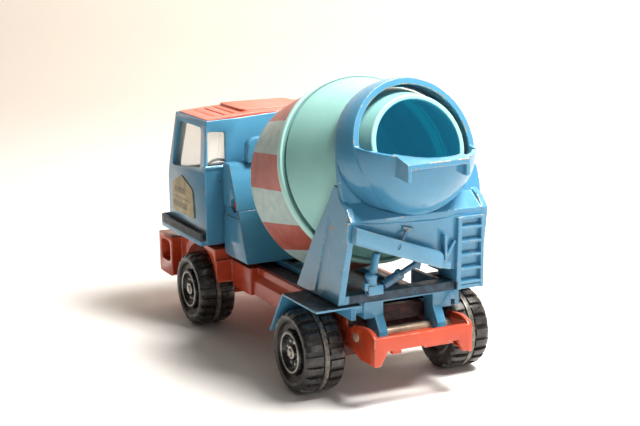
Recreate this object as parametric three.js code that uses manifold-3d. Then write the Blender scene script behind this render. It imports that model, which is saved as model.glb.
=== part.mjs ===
// Toy cement mixer lorry: a die-cast chassis and cab on four wheels, and a mixer body
// (rear frame, two towers, hopper, chute and a turning drum) that tips about a steel
// pin at the rear.  Millimetres, +X right, +Y to the front of the lorry, +Z up.
// Everything is laid out from the rear axle (Y = 0) with the axles at Z = 12, and the
// whole group is shifted at the end so that the origin is the centre of the footprint.
import * as THREE from 'three';
import { mergeVertices } from 'three/addons/utils/BufferGeometryUtils.js';
import Module from 'manifold-3d';

const wasm = await Module();
wasm.setup();

// ---------------------------------------------------------------- driving dimensions
const AXLE_Z = 12;             // axle height in the layout
const TYRE_R = 13.2;           // tyre radius over the tread lugs
const TYRE_W = 13.5;           // tyre width
const TRACK_OUT = 33.05;       // outer face of each tyre from the centre plane
const WHEELBASE = 85.5;        // rear axle to front axle
const AXLE_R = 1.15;           // steel axle radius
const BORE_R = 1.23;           // running bore in the hubs
const REAR_Y = -38.4;          // hopper lip, rearmost point
const FRONT_Y = 119.6;         // front bumper, foremost point
const BUMPER_W = 31.9;         // front bumper half width
const HALF_W = 33.2;           // mudguard outer edge
const HINGE_Y = -14.5;         // tipping pin
const HINGE_Z = 18.7;
const HINGE_R = 1.6;
const TILT = THREE.MathUtils.degToRad(20.4);   // drum axis rises to the rear by this
const AXIS_Z0 = 69.51;         // height of the drum axis above the rear axle
const DRUM_R = 30.2;           // drum cylinder radius
const RING_R = 31;             // raised ring radius
const MOUTH_R = 15.7;          // drum mouth outer radius
const MOUTH_IN = 14.05;        // drum mouth inner radius
const MOUTH_S = 24;            // drum mouth along the axis
const SPLIT_S = -8.7;          // joint between the two drum shells
const CONE_K = (29.6 - MOUTH_R) / (MOUTH_S - SPLIT_S);   // slope of the rear cone
const COLLAR_S0 = 12.7, COLLAR_S1 = 14.1;      // collar plate along the axis
const HOOD_S = 21.9;           // hood's open end along the axis
const COLLAR_R = 22.8;         // collar plate round its top
const RIM = [-0.066, 0.102, 79.44];            // hopper rim plane: z = a x + b y + c
const BOWL_C = [0, -17, 76.4]; // hopper bowl centre and radii
const BOWL_R = [20.7, 18.8, 20.8];
const BOWL_T = 1.6;            // hopper wall
const CAB_W = 30.5;            // half width of the cab at the doors
const CAB_ROOF_W = 29.5;       // half width of the cab at the roof
const CAB_REAR = 72.6, CAB_FRONT = 109.2;
const TOWER_W = 24.3;          // front tower half width
const TOWER_FRONT = 71.2;
const SEAM_Z = 45.1;           // joint in the front tower
const DECK_Z = 25.2;           // chassis deck
const FENDER_Z = 30.1;         // mudguard top
const GAP = 0.12;              // clearance between neighbouring castings

// ---------------------------------------------------------------- solid helpers
function solid(geometry) {
  let g = geometry.clone();
  for (const k of Object.keys(g.attributes)) if (k !== 'position') g.deleteAttribute(k);
  g = mergeVertices(g, 1e-4);
  const p = g.attributes.position.array, src = g.index.array, tri = [];
  let vol = 0;
  for (let i = 0; i < src.length; i += 3) {
    const [a, b, c] = [src[i], src[i + 1], src[i + 2]];
    if (a === b || b === c || a === c) continue;
    tri.push(a, b, c);
    const A = [p[3 * a], p[3 * a + 1], p[3 * a + 2]], B = [p[3 * b], p[3 * b + 1], p[3 * b + 2]], C = [p[3 * c], p[3 * c + 1], p[3 * c + 2]];
    vol += A[0] * (B[1] * C[2] - B[2] * C[1]) - A[1] * (B[0] * C[2] - B[2] * C[0]) + A[2] * (B[0] * C[1] - B[1] * C[0]);
  }
  if (vol < 0) for (let i = 0; i < tri.length; i += 3) [tri[i + 1], tri[i + 2]] = [tri[i + 2], tri[i + 1]];
  return new wasm.Manifold(new wasm.Mesh({ numProp: 3, vertProperties: Float32Array.from(p), triVerts: Uint32Array.from(tri) }));
}
const add = (...s) => s.flat().reduce((a, b) => a.add(b));
const sub = (a, ...s) => s.flat().reduce((x, y) => x.subtract(y), a);
const both = (a, b) => a.intersect(b);

function outline(pts, r = 0) {
  const s = new THREE.Shape();
  const n = pts.length;
  pts.forEach(([x, y, rr], i) => {
    const q = rr ?? r;
    if (!q) { i ? s.lineTo(x, y) : s.moveTo(x, y); return; }
    const P = new THREE.Vector2(x, y), A = new THREE.Vector2(...pts[(i + n - 1) % n]), B = new THREE.Vector2(...pts[(i + 1) % n]);
    const a = P.clone().add(A.sub(P).setLength(Math.min(q, A.length() * 0.49)));
    const b = P.clone().add(B.sub(P).setLength(Math.min(q, B.length() * 0.49)));
    i ? s.lineTo(a.x, a.y) : s.moveTo(a.x, a.y);
    s.quadraticCurveTo(x, y, b.x, b.y);
  });
  s.closePath();
  return s;
}
const AXES = {
  x: new THREE.Matrix4().set(0, 0, 1, 0, 1, 0, 0, 0, 0, 1, 0, 0, 0, 0, 0, 1),
  y: new THREE.Matrix4().set(1, 0, 0, 0, 0, 0, 1, 0, 0, 1, 0, 0, 0, 0, 0, 1),
  z: new THREE.Matrix4(),
};
// outline points are (Y,Z) for axis x, (X,Z) for axis y and (X,Y) for axis z
function prism(axis, pts, a, b, r = 0, seg = 4, matrix = null) {
  const g = new THREE.ExtrudeGeometry(outline(pts, r), { depth: b - a, bevelEnabled: false, curveSegments: seg });
  g.translate(0, 0, a);
  g.applyMatrix4(AXES[axis]);
  if (matrix) g.applyMatrix4(matrix);
  return solid(g);
}
const box = (x0, x1, y0, y1, z0, z1, matrix = null) => {
  const g = new THREE.BoxGeometry(x1 - x0, y1 - y0, z1 - z0).translate((x0 + x1) / 2, (y0 + y1) / 2, (z0 + z1) / 2);
  if (matrix) g.applyMatrix4(matrix);
  return solid(g);
};
const twoSides = (f) => [f(1), f(-1)];
const rodX = (y, z, r, x0, x1, seg = 20) => solid(new THREE.CylinderGeometry(r, r, x1 - x0, seg).rotateZ(Math.PI / 2).translate((x0 + x1) / 2, y, z));
const rodY = (x, z, r, y0, y1, seg = 20) => solid(new THREE.CylinderGeometry(r, r, y1 - y0, seg).translate(x, (y0 + y1) / 2, z));
function rod(p, q, r0, r1 = r0, seg = 16) {
  const a = new THREE.Vector3(...p), b = new THREE.Vector3(...q);
  const g = new THREE.CylinderGeometry(r1, r0, a.distanceTo(b), seg);
  g.applyQuaternion(new THREE.Quaternion().setFromUnitVectors(new THREE.Vector3(0, 1, 0), b.clone().sub(a).normalize()));
  g.translate((a.x + b.x) / 2, (a.y + b.y) / 2, (a.z + b.z) / 2);
  return solid(g);
}
const revolve = (profile, seg, matrix) => solid(new THREE.LatheGeometry(profile.concat(profile[0][0] ? [profile[0]] : []).map(([r, s]) => new THREE.Vector2(r, s)), seg).applyMatrix4(matrix));

// drum axis frame: local Y runs along the axis towards the mouth
const axisDir = new THREE.Vector3(0, -Math.cos(TILT), Math.sin(TILT));
const DRUM = new THREE.Matrix4().makeBasis(new THREE.Vector3(1, 0, 0), axisDir, new THREE.Vector3(1, 0, 0).cross(axisDir)).setPosition(0, 0, AXIS_Z0);
// a slab between two stations of the drum axis, outline in (X, radial up)
const UP = new THREE.Vector3(0, Math.sin(TILT), Math.cos(TILT));
const SLAB = new THREE.Matrix4().makeBasis(new THREE.Vector3(1, 0, 0), UP, axisDir).setPosition(0, 0, AXIS_Z0);
function slab(pts, s0, s1, r = 0, seg = 4) {
  const g = new THREE.ExtrudeGeometry(Array.isArray(pts) ? outline(pts, r) : pts, { depth: s1 - s0, bevelEnabled: false, curveSegments: seg });
  g.translate(0, 0, s0).applyMatrix4(SLAB);
  return solid(g);
}
const coneR = (s) => 29.6 - CONE_K * (s - SPLIT_S);

// rear wall frame of the rear tower: it leans back as it rises
const LEAN = 0.2148;
const rearY = (z) => -18.2 - LEAN * (z - 30.1);
const WALL = new THREE.Matrix4().set(1, 0, 0, 0, 0, 1, -LEAN, -18.2 + LEAN * 30.1, 0, 0, 1, 0, 0, 0, 0, 1);
// outline (X,Z) on the wall; depths are measured backwards (out) from its face
const onWall = (pts, out0, out1, r = 0, seg = 3) => prism('y', pts, -out1, -out0, r, seg, WALL);

// ---------------------------------------------------------------- chassis (root body)
function chassisCasting() {
  const mid = prism('y', [[-20.4, 15.6], [20.4, 15.6], [20.4, 20.8], [18.6, 22.8], [18.6, DECK_Z], [-18.6, DECK_Z], [-18.6, 22.8], [-20.4, 20.8]], 19.5, 70.2);
  const step = prism('z', [[-22, 54.6, 1.2], [22, 54.6, 1.2], [22, 70.2], [-22, 70.2]], 15.6, DECK_Z, 0, 3);
  const rear = box(-17.3, 17.3, -8.6, 20, 14, DECK_Z);
  const front = add(box(-18.9, 18.9, 70, 105, 14, 25.3), box(-18.9, 18.9, 71.35, 105, 25, 29.2));
  const bosses = add(box(-17.3, 17.3, -4, 4, 9.4, 15), box(-18.9, 18.9, WHEELBASE - 4, WHEELBASE + 4, 9.4, 15));
  const skirts = twoSides((d) => sub(
    prism('x', [[70.2, 15.9], [105, 15.9], [105, 29.2], [71.35, 29.2], [71.35, 25.3], [70.2, 25.3]], Math.min(d * 18, d * 28), Math.max(d * 18, d * 28)),
    rodX(WHEELBASE, AXLE_Z, 16.2, -40, 40, 32)));
  let bumper = prism('x', [[104, 13], [106, 12], [117.2, 12], [FRONT_Y, 14.6], [FRONT_Y, 26, 1], [118.4, 27.4, 1], [104, 27.4]], -BUMPER_W, BUMPER_W, 0, 2);
  bumper = both(bumper, prism('z', [[-BUMPER_W, 103], [BUMPER_W, 103], [BUMPER_W, FRONT_Y, 2.2], [-BUMPER_W, FRONT_Y, 2.2]], 10, 30, 0, 3));
  bumper = sub(bumper,
    twoSides((d) => prism('x', [[106.2, 17.4], [115.6, 17.4], [115.6, 25.2], [106.2, 25.2]], Math.min(d * 24, d * 32), Math.max(d * 24, d * 32), 2.6, 3)),
    twoSides((d) => rodY(d * 20.5, 19.6, 4.1, FRONT_Y - 1.3, FRONT_Y + 2, 16)),
    box(-9, 9, FRONT_Y - 0.7, FRONT_Y + 2, 15.5, 20));
  // rear cross bar with two short legs, the hinge ears and the middle lug
  const bar = prism('y', [[-17.3, 12.2], [-15, 12.2], [-12.6, 16.6], [12.2, 16.6], [14.1, 12.7], [17.3, 12.7], [17.3, 21.1], [-17.3, 21.1]], -26.3, -24.2);
  const ears = twoSides((d) => prism('x', [[-26.3, 12.3], [-17.3, 12.2], [-12.1, 13.9], [-7, 14], [-7, 21], [-11.2, 21], [-13.4, 22.5], [-21.2, 23.1], [-24.3, 22.4], [-26.3, 21.1]],
    Math.min(d * 15.8, d * 17.3), Math.max(d * 15.8, d * 17.3)));
  const lug = add(prism('x', [[-18.6, 14.6], [-8, 14], [-8, 20.2], [-12.4, 20.2], [-12.4, 16.6], [-16.3, 16.6], [-16.3, 18.9], [-18.6, 18.9]], -7.9, 7.9),
    box(-7.9, 7.9, -17, -12, 15.4, 18.3));
  const tabs = add(box(-10.6, -7.4, -25.4, -23.4, 15.2, 17.4), box(0.6, 11, -25.4, -23.4, 15.6, 17.4));
  let c = add(mid, step, rear, front, bosses, skirts, bumper, bar, ears, lug, tabs);
  c = sub(c,
    rodX(0, AXLE_Z, AXLE_R + GAP, -40, 40, 16),
    rodX(WHEELBASE, AXLE_Z, AXLE_R + GAP, -40, 40, 16),
    rodX(HINGE_Y, HINGE_Z, HINGE_R + GAP, -40, 40, 16),
    // shallow panels under the floor on both sides of the riveting pad
    box(-17.2, 17.2, 24, 41.5, 10, 17.1),
    box(-17.2, 17.2, 48.5, 59, 10, 17.1));
  return c;
}

const rivet = (x, y, z) => solid(new THREE.LatheGeometry([[0, -0.9], [1.7, -0.8], [2.6, -GAP], [0, -GAP]].map(([r, h]) => new THREE.Vector2(r, h)), 14).rotateX(Math.PI / 2).translate(x, y, z));

const hingePin = rodX(HINGE_Y, HINGE_Z, HINGE_R, -17.45, 17.45, 16);
const axle = (y) => rodX(y, AXLE_Z, AXLE_R, -33.3, 33.3, 16);

// ---------------------------------------------------------------- cab
function cabShell() {
  const side = [[CAB_REAR, 31.2], [CAB_REAR, 79], [101.4, 79], [101.9, 75.2], [CAB_FRONT, 51], [CAB_FRONT, 31.2]];
  const back = [[-CAB_W, 31], [CAB_W, 31], [CAB_W, 56], [CAB_ROOF_W, 75.1], [17, 75.5], [0, 76.6], [-17, 75.5], [-CAB_ROOF_W, 75.1], [-CAB_W, 56]];
  let c = both(prism('x', side, -31, 31, 0), prism('y', back, 60, 120));
  // skirt rail round the foot of the doors and the front
  const rail = sub(prism('z', [[-32.5, 73.4], [32.5, 73.4], [32.5, 114.4, 2.5], [-32.5, 114.4, 2.5]], 30.4, 35, 0, 3),
    prism('z', [[-31.4, 72], [31.4, 72], [31.4, 113.4, 2], [-31.4, 113.4, 2]], 32.8, 36.6, 0, 3));
  c = add(c, rail, box(-30.6, 30.6, CAB_REAR - 0.6, CAB_REAR + 1, 58.1, 59));
  // radiator bars on the front
  for (let k = 0; k < 5; k++) c = add(c, box(-15, 15, CAB_FRONT - 0.5, CAB_FRONT + 0.7, 38 + 2.2 * k, 39.2 + 2.2 * k));
  // inside, open at the bottom and the top
  c = sub(c,
    prism('x', [[CAB_REAR + 1.5, 20], [CAB_REAR + 1.5, 90], [99.7, 90], [100.2, 74.5], [CAB_FRONT - 1.7, 50.6], [CAB_FRONT - 1.7, 20]], -28.6, 28.6),
    prism('x', [[CAB_REAR + 0.8, 73.6], [CAB_REAR + 0.8, 90], [101, 90], [101, 73.6]], -28.95, 28.95));
  // side, rear and front windows
  const win = [[77.4, 57.8, 1.6], [77.4, 72.2, 1.6], [98.8, 72.2, 1.6], [104.9, 55, 2.4]];
  c = sub(c, prism('x', win, -40, 40, 0, 3));
  c = sub(c, twoSides((d) => prism('y', [[d * 29.3, 59.3], [d * 22.4, 59.3], [d * 22.4, 70.8], [d * 29, 71.3]], 60, 78, 1, 3)));
  c = sub(c, prism('y', [[-26.6, 53.4], [26.6, 53.4], [25.2, 72], [-25.2, 72]], 99, 125, 2, 3));
  return c;
}
function cabRoof() {
  const skin = [[-28.8, 73.8], [28.8, 73.8], [28.8, 75.4], [18, 76.3], [9, 76.9], [-9, 76.9], [-18, 76.3], [-28.8, 75.4]];
  let r = prism('y', skin, CAB_REAR + 0.95, 100.85);
  r = add(r, prism('z', [[-13.5, 77.5], [13.5, 77.5], [13.5, 99.6], [-13.5, 99.6]], 76, 77.6, 2.2, 3));
  const grooves = [-24.2, -20.2, -16.4, 16.4, 20.2, 24.2].map((x) => box(x - 0.35, x + 0.35, 78, 97.5, 75.4, 79));
  r = sub(r, grooves);
  return sub(r, prism('x', [[76, 70], [98, 70], [98, 74.9], [76, 74.9]], -25.5, 25.5));
}
function cabGlazing() {
  const o = prism('x', [[CAB_REAR + 1.65, 52], [CAB_REAR + 1.65, 73.3], [100.0, 73.3], [106.9, 52]], -28.45, 28.45);
  const i = prism('x', [[CAB_REAR + 2.6, 50], [CAB_REAR + 2.6, 75], [98.6, 75], [106.4, 50.1]], -27.5, 27.5);
  const ribs = twoSides((d) => prism('x', [[98.4, 73.3], [100.0, 73.3], [106.9, 52], [105.4, 52]], Math.min(d * 12.5, d * 13.3), Math.max(d * 12.5, d * 13.3)));
  return add(sub(o, i), ribs);
}
const cabInterior = add(
  box(-26.9, 26.9, 75, 106.6, 31.6, 33.2),
  prism('x', [[76, 33], [91, 33], [91, 42.5, 1], [82.5, 43.8, 1], [80.4, 57.5, 1], [76.4, 57.5, 1]], -24, -1.6, 0, 2),
  prism('x', [[76, 33], [91, 33], [91, 42.5, 1], [82.5, 43.8, 1], [80.4, 57.5, 1], [76.4, 57.5, 1]], 1.6, 24, 0, 2),
  prism('x', [[102.4, 33], [106.2, 33], [106.2, 50.8], [102.4, 49.3, 1]], -26, 26, 0, 2),
  rod([-13, 104.6, 46.5], [-13, 101.0, 49.2], 1.1, 1.1, 10));
const steering = add(
  solid(new THREE.TorusGeometry(6.2, 0.6, 5, 16).rotateX(Math.PI / 2).applyMatrix4(new THREE.Matrix4().makeRotationX(-0.6435).setPosition(-13, 99.0, 50.7))),
  rod([-13, 100.6, 49.5], [-13, 98.4, 51.15], 1.5, 1.3, 10),
  box(-6.2, 6.2, -0.45, 0.45, -0.35, 0.35, new THREE.Matrix4().makeRotationX(-0.6435).setPosition(-13, 99.0, 50.7)));
const headlamp = (d) => solid(new THREE.LatheGeometry([[0, 0], [3.95, 0], [3.95, 0.7], [3, 1.1], [0, 1.2]].map(([r, h]) => new THREE.Vector2(r, h)), 16).translate(d * 20.5, FRONT_Y - 1.25, 19.6));
const badgePts = [[104.4, 38.2], [104.4, 48.8], [94.8, 52.6], [84.2, 48.8], [83.2, 38.4]];
const badge = (d) => prism('x', badgePts, Math.min(d * (CAB_W + 0.08), d * (CAB_W + 0.38)), Math.max(d * (CAB_W + 0.08), d * (CAB_W + 0.38)), 0.8, 2);

// ---------------------------------------------------------------- wheels
// profiles are (radius, distance outwards from the tyre's outer face)
const wheelFrame = (d, y) => new THREE.Matrix4().makeBasis(new THREE.Vector3(0, 1, 0), new THREE.Vector3(d, 0, 0), new THREE.Vector3(0, 0, -d)).setPosition(d * TRACK_OUT, y, AXLE_Z);
const tyre = (d, y) => revolve([[7.3, -12.7], [7.3, -1.5], [9.6, -0.9], [11.3, 0], [12.5, -0.9], [TYRE_R, -2.8], [TYRE_R, -10.7], [12.5, -12.6], [11.3, -TYRE_W], [8.4, -TYRE_W]], 24, wheelFrame(d, y));
const hub = (d, y) => revolve([[BORE_R, -12.4], [BORE_R, -0.4], [2.2, -0.4], [2.6, -1.5], [5.3, -1.5], [5.8, 0.25], [6.9, 0.25], [7.15, -0.8], [7.15, -12.4]], 16, wheelFrame(d, y));

// ---------------------------------------------------------------- mixer body: rear frame
function rearFrame() {
  const beam = box(-15.5, 15.5, -16.6, -10.5, 29.3, 30.0);
  const lower = box(-17.8, 17.8, -15.4, -10.5, 26.4, 29.5);
  const ends = twoSides((d) => box(Math.min(d * 11.9, d * 15.5), Math.max(d * 11.9, d * 15.5), -16.6, -11.5, 24.6, 30));
  const hooks = twoSides((d) => sub(prism('x', [[-16.6, 30], [-16.6, 25.5], [-19.6, 20.8], [-19.6, 17.2], [-17, 15.4], [-12.4, 15.4], [-11.3, 17], [-11.3, 30]], Math.min(d * 8.8, d * 12), Math.max(d * 8.8, d * 12)),
    rodX(HINGE_Y, HINGE_Z, HINGE_R + GAP, -40, 40, 16)));
  const gap = box(-8.8, 8.8, -30, -5, 20, 29.3);
  // mudguards: flat over the wheel, sloping down in front of it; the right one is cut short behind
  const guard = (x0, x1, back) => prism('x', [[back, FENDER_Z - 0.7], [4.15, FENDER_Z - 0.7], [14, 15.4], [14.56, 15.82], [4.55, FENDER_Z], [back, FENDER_Z]], x0, x1);
  const guards = add(guard(-HALF_W, -17.6, -19.3), guard(17.6, HALF_W, -7.5));
  const rails = twoSides((d) => add(
    box(Math.min(d * 17.6, d * 19.2), Math.max(d * 17.6, d * 19.2), -15.4, 12, 24.3, FENDER_Z),
    prism('x', [[-10.6, 25.5], [-10.6, 28], [-6, 27.5], [70, 27.5], [70, 25.5]], Math.min(d * 8.9, d * 11.2), Math.max(d * 8.9, d * 11.2))));
  const cross = add(box(-11, 11, 45.8, 48.6, 25.5, 27.3), box(-11, 11, 66.5, 70, 25.5, 27.3));
  return add(sub(add(beam, lower), gap), ends, hooks, guards, rails, cross);
}

// ---------------------------------------------------------------- mixer body: front tower
const towerBack = (z) => 50.6 + (z - 26) * 0.4157;
const spindleBore = revolve([[0, -80], [2.52, -80], [2.52, -50], [0, -50]], 16, DRUM);
const pinHole = add(twoSides((d) => rodX(62.6, 46.3, 1.9 + GAP, Math.min(d * 11.9, d * 40), Math.max(d * 11.9, d * 40), 12)),
  twoSides((d) => rodX(62.6, 46.3, 2.5, Math.min(d * 21, d * 40), Math.max(d * 21, d * 40), 16)));
const bodyTower = sub(
  prism('x', [[TOWER_FRONT, 28.6], [TOWER_FRONT, SEAM_Z], [towerBack(SEAM_Z), SEAM_Z], [towerBack(27.62), 27.62], [69.6, 27.62]], -TOWER_W, TOWER_W),
  spindleBore, pinHole,
  twoSides((d) => box(Math.min(d * (TOWER_W - 0.4), d * 30), Math.max(d * (TOWER_W - 0.4), d * 30), 50, 80, 42.2, SEAM_Z + 1)),
  box(-20.5, 20.5, 58.6, 68.8, 20, 32));
const capTower = sub(
  prism('x', [[TOWER_FRONT, SEAM_Z + GAP], [TOWER_FRONT, 60.6, 1.6], [towerBack(60.6) + 0.3, 60.6, 1.2], [towerBack(SEAM_Z), SEAM_Z + GAP]], -TOWER_W, TOWER_W, 0, 3),
  spindleBore, pinHole);
const towerPin = (d) => rodX(62.6, 46.3, 1.9, Math.min(d * 12, d * 23.1), Math.max(d * 12, d * 23.1), 12);
const crest = prism('y', [[-17.8, 60.6 + GAP], [17.8, 60.6 + GAP], [17.8, 69.6, 5], [-17.8, 69.6, 5]], 63.2, 67.2, 0, 4);

// ---------------------------------------------------------------- mixer body: rear tower
const drumRoom = revolve([[0, -70], [RING_R + 0.5, -70], [RING_R + 0.5, SPLIT_S + 0.6], [coneR(COLLAR_S0) + 0.45, COLLAR_S0], [coneR(26) + 0.45, 26], [0, 26]], 32, DRUM);
function rearTower() {
  const flank = [[-18.1, 30.1 - 0.3], [10.8, 29.8], [0.9, 46.8], [-8.0, 59.2], [-11.4, 64.4], [-12.6, 66.4], [-15.4, 66.0], [-16.3, 62.8], [-20.9, 60.6], [-23.9, 57.0]];
  const panels = twoSides((d) => {
    const taper = new THREE.Matrix4().set(1, 0, -d * 0.05, d * 0.05 * 30.1, 0, 1, 0, 0, 0, 0, 1, 0, 0, 0, 0, 1);
    let p = prism('x', flank, Math.min(d * 23.2, d * 25.3), Math.max(d * 23.2, d * 25.3), 0, 3, taper);
    // slanted channel down the outside of the panel
    const ch = prism('x', [[-6.6, 31.5], [-2.6, 31.5], [-9.8, 56.5], [-13.8, 54.8]], Math.min(d * 24.75, d * 30), Math.max(d * 24.75, d * 30), 0, 3, taper);
    return sub(p, ch);
  });
  const wall = onWall([[-24.6, 56.9], [-24.6, 50.9], [8.4, 39.6], [15.2, 37], [15.2, 29.8], [24.9, 29.8], [24.0, 55.6], [4, 54.8], [-14, 55.6]], -2, 0);
  const beam = box(-25.1, 15.6, -18.25, -14, 29.8, 33.2);
  const web = prism('x', [[-18.0, 29.8], [-9.2, 29.8], [-9.2, 36.6], [-14, 44.4], [-21.6, 47.2]], 15.2, 16.9);
  // collar plate across the drum axis: round at the top, wider shoulders below
  const plate = new THREE.Shape();
  plate.moveTo(-22.9, -19.2); plate.lineTo(23.9, -19.2); plate.lineTo(25.2, -12.5); plate.lineTo(25.2, -6.5); plate.lineTo(COLLAR_R, -0.5);
  plate.absarc(0, 0, COLLAR_R, 0, Math.PI, false);
  plate.lineTo(-23.4, -6.5); plate.lineTo(-23.4, -12.5); plate.closePath();
  const collar = slab(plate, COLLAR_S0, COLLAR_S1, 0, 12);
  const shelf = prism('x', [[-23.7, 57.2], [-16.2, 62.8], [-14.6, 61.6], [-22.0, 55.6], [-23.5, 55.6]], -22.8, 22.8);
  const bowlRoom = solid(new THREE.SphereGeometry(1, 24, 14).scale(BOWL_R[0] + 0.3, BOWL_R[1] + 0.3, BOWL_R[2] + 0.3).translate(...BOWL_C));
  const behind = slab([[-60, -60], [60, -60], [60, 60], [-60, 60]], COLLAR_S1 - 0.01, 80);
  const hoodRoom = squashed([[0, COLLAR_S1 - 0.01], [COLLAR_R + 0.3, COLLAR_S1 - 0.01], [22.9, 16], [22.5, 18], [21.8, 20], [21.1, 22.6], [0, 22.6]], 32, 0.04);
  let t = add(panels, wall, web, collar, shelf);
  t = sub(t, both(bowlRoom, behind), hoodRoom);
  t = add(t, beam);
  t = sub(t, drumRoom);
  return sub(t, box(-60, 60, -40, 40, 20, FENDER_Z + 0.3 + GAP));
}

// ---------------------------------------------------------------- hopper: hood and bowl in one casting
// turned shape about the drum axis whose lower half is flattened upwards and whose crown rises towards the open end
function squashed(profile, seg, rise = 0) {
  const g = new THREE.LatheGeometry(profile.map(([r, s]) => new THREE.Vector2(r, s)), seg);
  const p = g.attributes.position;
  for (let i = 0; i < p.count; i++) {
    const t = Math.min(Math.max((p.getY(i) - COLLAR_S1) / (HOOD_S - COLLAR_S1), 0), 1);
    p.setZ(i, p.getZ(i) * (p.getZ(i) > 0 ? 0.87 : 1 + rise * t));
  }
  return solid(g.applyMatrix4(DRUM));
}
function hopper() {
  const outerHood = squashed([[0, COLLAR_S1 + GAP], [COLLAR_R, COLLAR_S1 + GAP], [22.55, 16], [22.1, 18], [21.4, 20], [20.9, 21.2], [20.5, HOOD_S], [0, HOOD_S]], 32, 0.04);
  const innerHood = squashed([[0, 10], [21.3, 10], [20.9, 14.2], [20.6, 16.6], [19.9, 19.4], [18.7, 21.6], [18.7, 26], [0, 26]], 32);
  const bowlO = solid(new THREE.SphereGeometry(1, 28, 16).scale(...BOWL_R).translate(...BOWL_C));
  const bowlI = solid(new THREE.SphereGeometry(1, 24, 14).scale(BOWL_R[0] - BOWL_T, BOWL_R[1] - BOWL_T, BOWL_R[2] - BOWL_T).translate(...BOWL_C));
  const onRim = new THREE.Matrix4().set(1, 0, 0, 0, 0, 1, 0, 0, RIM[0], RIM[1], 1, RIM[2], 0, 0, 0, 1);
  const below = box(-60, 60, -60, 60, -60, 0, onRim);
  const behind = slab([[-60, -60], [60, -60], [60, 60], [-60, 60]], COLLAR_S1 + GAP, 80);
  // squared lip on the rear of the bowl: a brow with a tapering cheek under each end
  const onBrow = new THREE.Matrix4().set(1, 0, 0, 0, 0, 1, 0, 0, -0.03, 0.25, 1, 75.45 + 0.25 * 38.4 - 0.03 * 13, 0, 0, 0, 1);
  const brow = prism('z', [[-13, REAR_Y], [9.4, REAR_Y + 2.2], [9.4, -26], [-13, -26]], -1.6, 0, 0, 1, onBrow);
  const cheek = (x0, x1, y) => prism('x', [[-26, -1.5], [y, -1.5], [y + 0.5, -5.4], [-33, -9.4], [-26, -10]], x0, x1, 0, 2, onBrow);
  const lip = both(add(brow, cheek(-13, -11.7, REAR_Y), cheek(8.1, 9.4, REAR_Y + 2.2)), behind);
  const outer = add(outerHood, both(both(bowlO, below), behind), sub(lip, innerHood));
  return sub(outer, innerHood, bowlI, drumRoom);
}

// ---------------------------------------------------------------- chute, rams and ladder on the rear tower
const lipTop = (x) => 55.8 - 0.372 * (x + 22.3);
const lipBot = (x) => 51.1 - 0.37 * (x + 24.3);
function chute() {
  const front = onWall([[-23.4, lipBot(-23.4)], [7.8, lipBot(7.8)], [8, lipTop(8) - 0.9, 0.8], [6.6, lipTop(6.6), 0.8], [-23.4, lipTop(-23.4)]], 2.1, 3.4, 0, 2);
  const floor = onWall([[-23.4, lipBot(-23.4)], [8, lipBot(8)], [8, lipBot(8) + 1.5], [-23.4, lipBot(-23.4) + 1.5]], GAP, 2.3);
  const endL = onWall([[-23.4, lipBot(-23.4)], [-22.2, lipBot(-22.2)], [-22.2, lipTop(-22.2)], [-23.4, lipTop(-23.4)]], GAP, 2.3);
  const foot = onWall([[7.8, lipBot(7.8)], [12.2, 37.9], [12.2, 40], [8, 43]], GAP, 1.6);
  // stay across the trough, from a small tee on the wall to the front lip
  const stay = rod([-4.65, rearY(53.0) - 0.66, 53.0], [-8.4, rearY(48.4) - 3.3, 48.4], 0.6, 0.5, 8);
  const tee = onWall([[-6.3, 53.3], [-2.4, 52.3], [-2.4, 53.2], [-6.3, 54.2]], GAP, 0.9);
  const finV = onWall([[9.2, 41.6], [10.1, 41.4], [8.8, 50.3], [7.8, 50.4]], GAP, 2.4);
  const finD = onWall([[9.2, 41], [10.1, 40.6], [13, 47.2], [12.3, 47.7]], GAP, 1.5);
  return add(front, floor, endL, foot, stay, tee, finV, finD);
}
const ramUpright = add(
  rod([-14.4, -20.0, 39.6], [-13.8, -21.3, lipBot(-13.8) - 0.9], 1.2, 1.2, 12),
  rod([-14.9, -19.9, 38.6], [-14.9, -19.9, 39.9], 2.1, 1.8, 12),
  rod([-14.8, -19.9, 36.2], [-14.9, -19.9, 38.8], 1.7, 1.7, 12),
  box(-17.5, -14.8, -21.0, -18.9, 34.8, 37.2),
  box(-16.5, -11.5, -21.6, -18.7, 33.2 + GAP, 36.3));
const ramSlanted = add(
  rod([-10.7, -19.6, 35.5], [-5.2, -19.6, 38.1], 1.5, 1.5, 12),
  rod([-5.5, -19.6, 37.96], [-4.3, -19.6, 38.53], 1.8, 1.8, 12),
  rod([-4.5, -19.6, 38.4], [0.9, -19.6, 40.9], 0.95, 0.95, 10),
  prism('y', [[0.1, 39.9], [1.7, 39], [2.2, 41.2], [0.5, 42.2]], -20.8, -18.6));
function ladder() {
  const taper = new THREE.Matrix4().set(1, 0, -0.05, 0.05 * 30.1, 0, 1, 0, 0, 0, 0, 1, 0, 0, 0, 0, 1);
  const wall = taper.clone().multiply(WALL);
  const w = (pts, a, b) => prism('y', pts, -b, -a, 0, 2, wall);
  const rails = add(w([[15.3, 30.6], [16.9, 30.6], [15.2, 54.9], [13.9, 54.9]], GAP, 1.7), w([[24.2, 30.6], [25.3, 30.6], [23.2, 54.9], [22.1, 54.9]], GAP, 1.7));
  const rungs = [32.9, 37.5, 42.1, 46.7, 51.4].map((z) => prism('x', [[-GAP, z - 0.9], [-1.5, z - 0.6], [-1.7, z + 0.2], [-GAP, z + 1.0]], 16 - 0.06 * (z - 30.6), 24.8 - 0.085 * (z - 30.6), 0, 2, wall));
  const top = w([[14.6, 54.1], [22.6, 54.1], [22.6, 55.1], [14.6, 55.1]], GAP, 1.5);
  const foot = w([[16, 30.6], [24.8, 30.6], [24.8, 31.9], [16, 31.9]], GAP, 1.3);
  return add(rails, rungs, top, foot);
}

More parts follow.
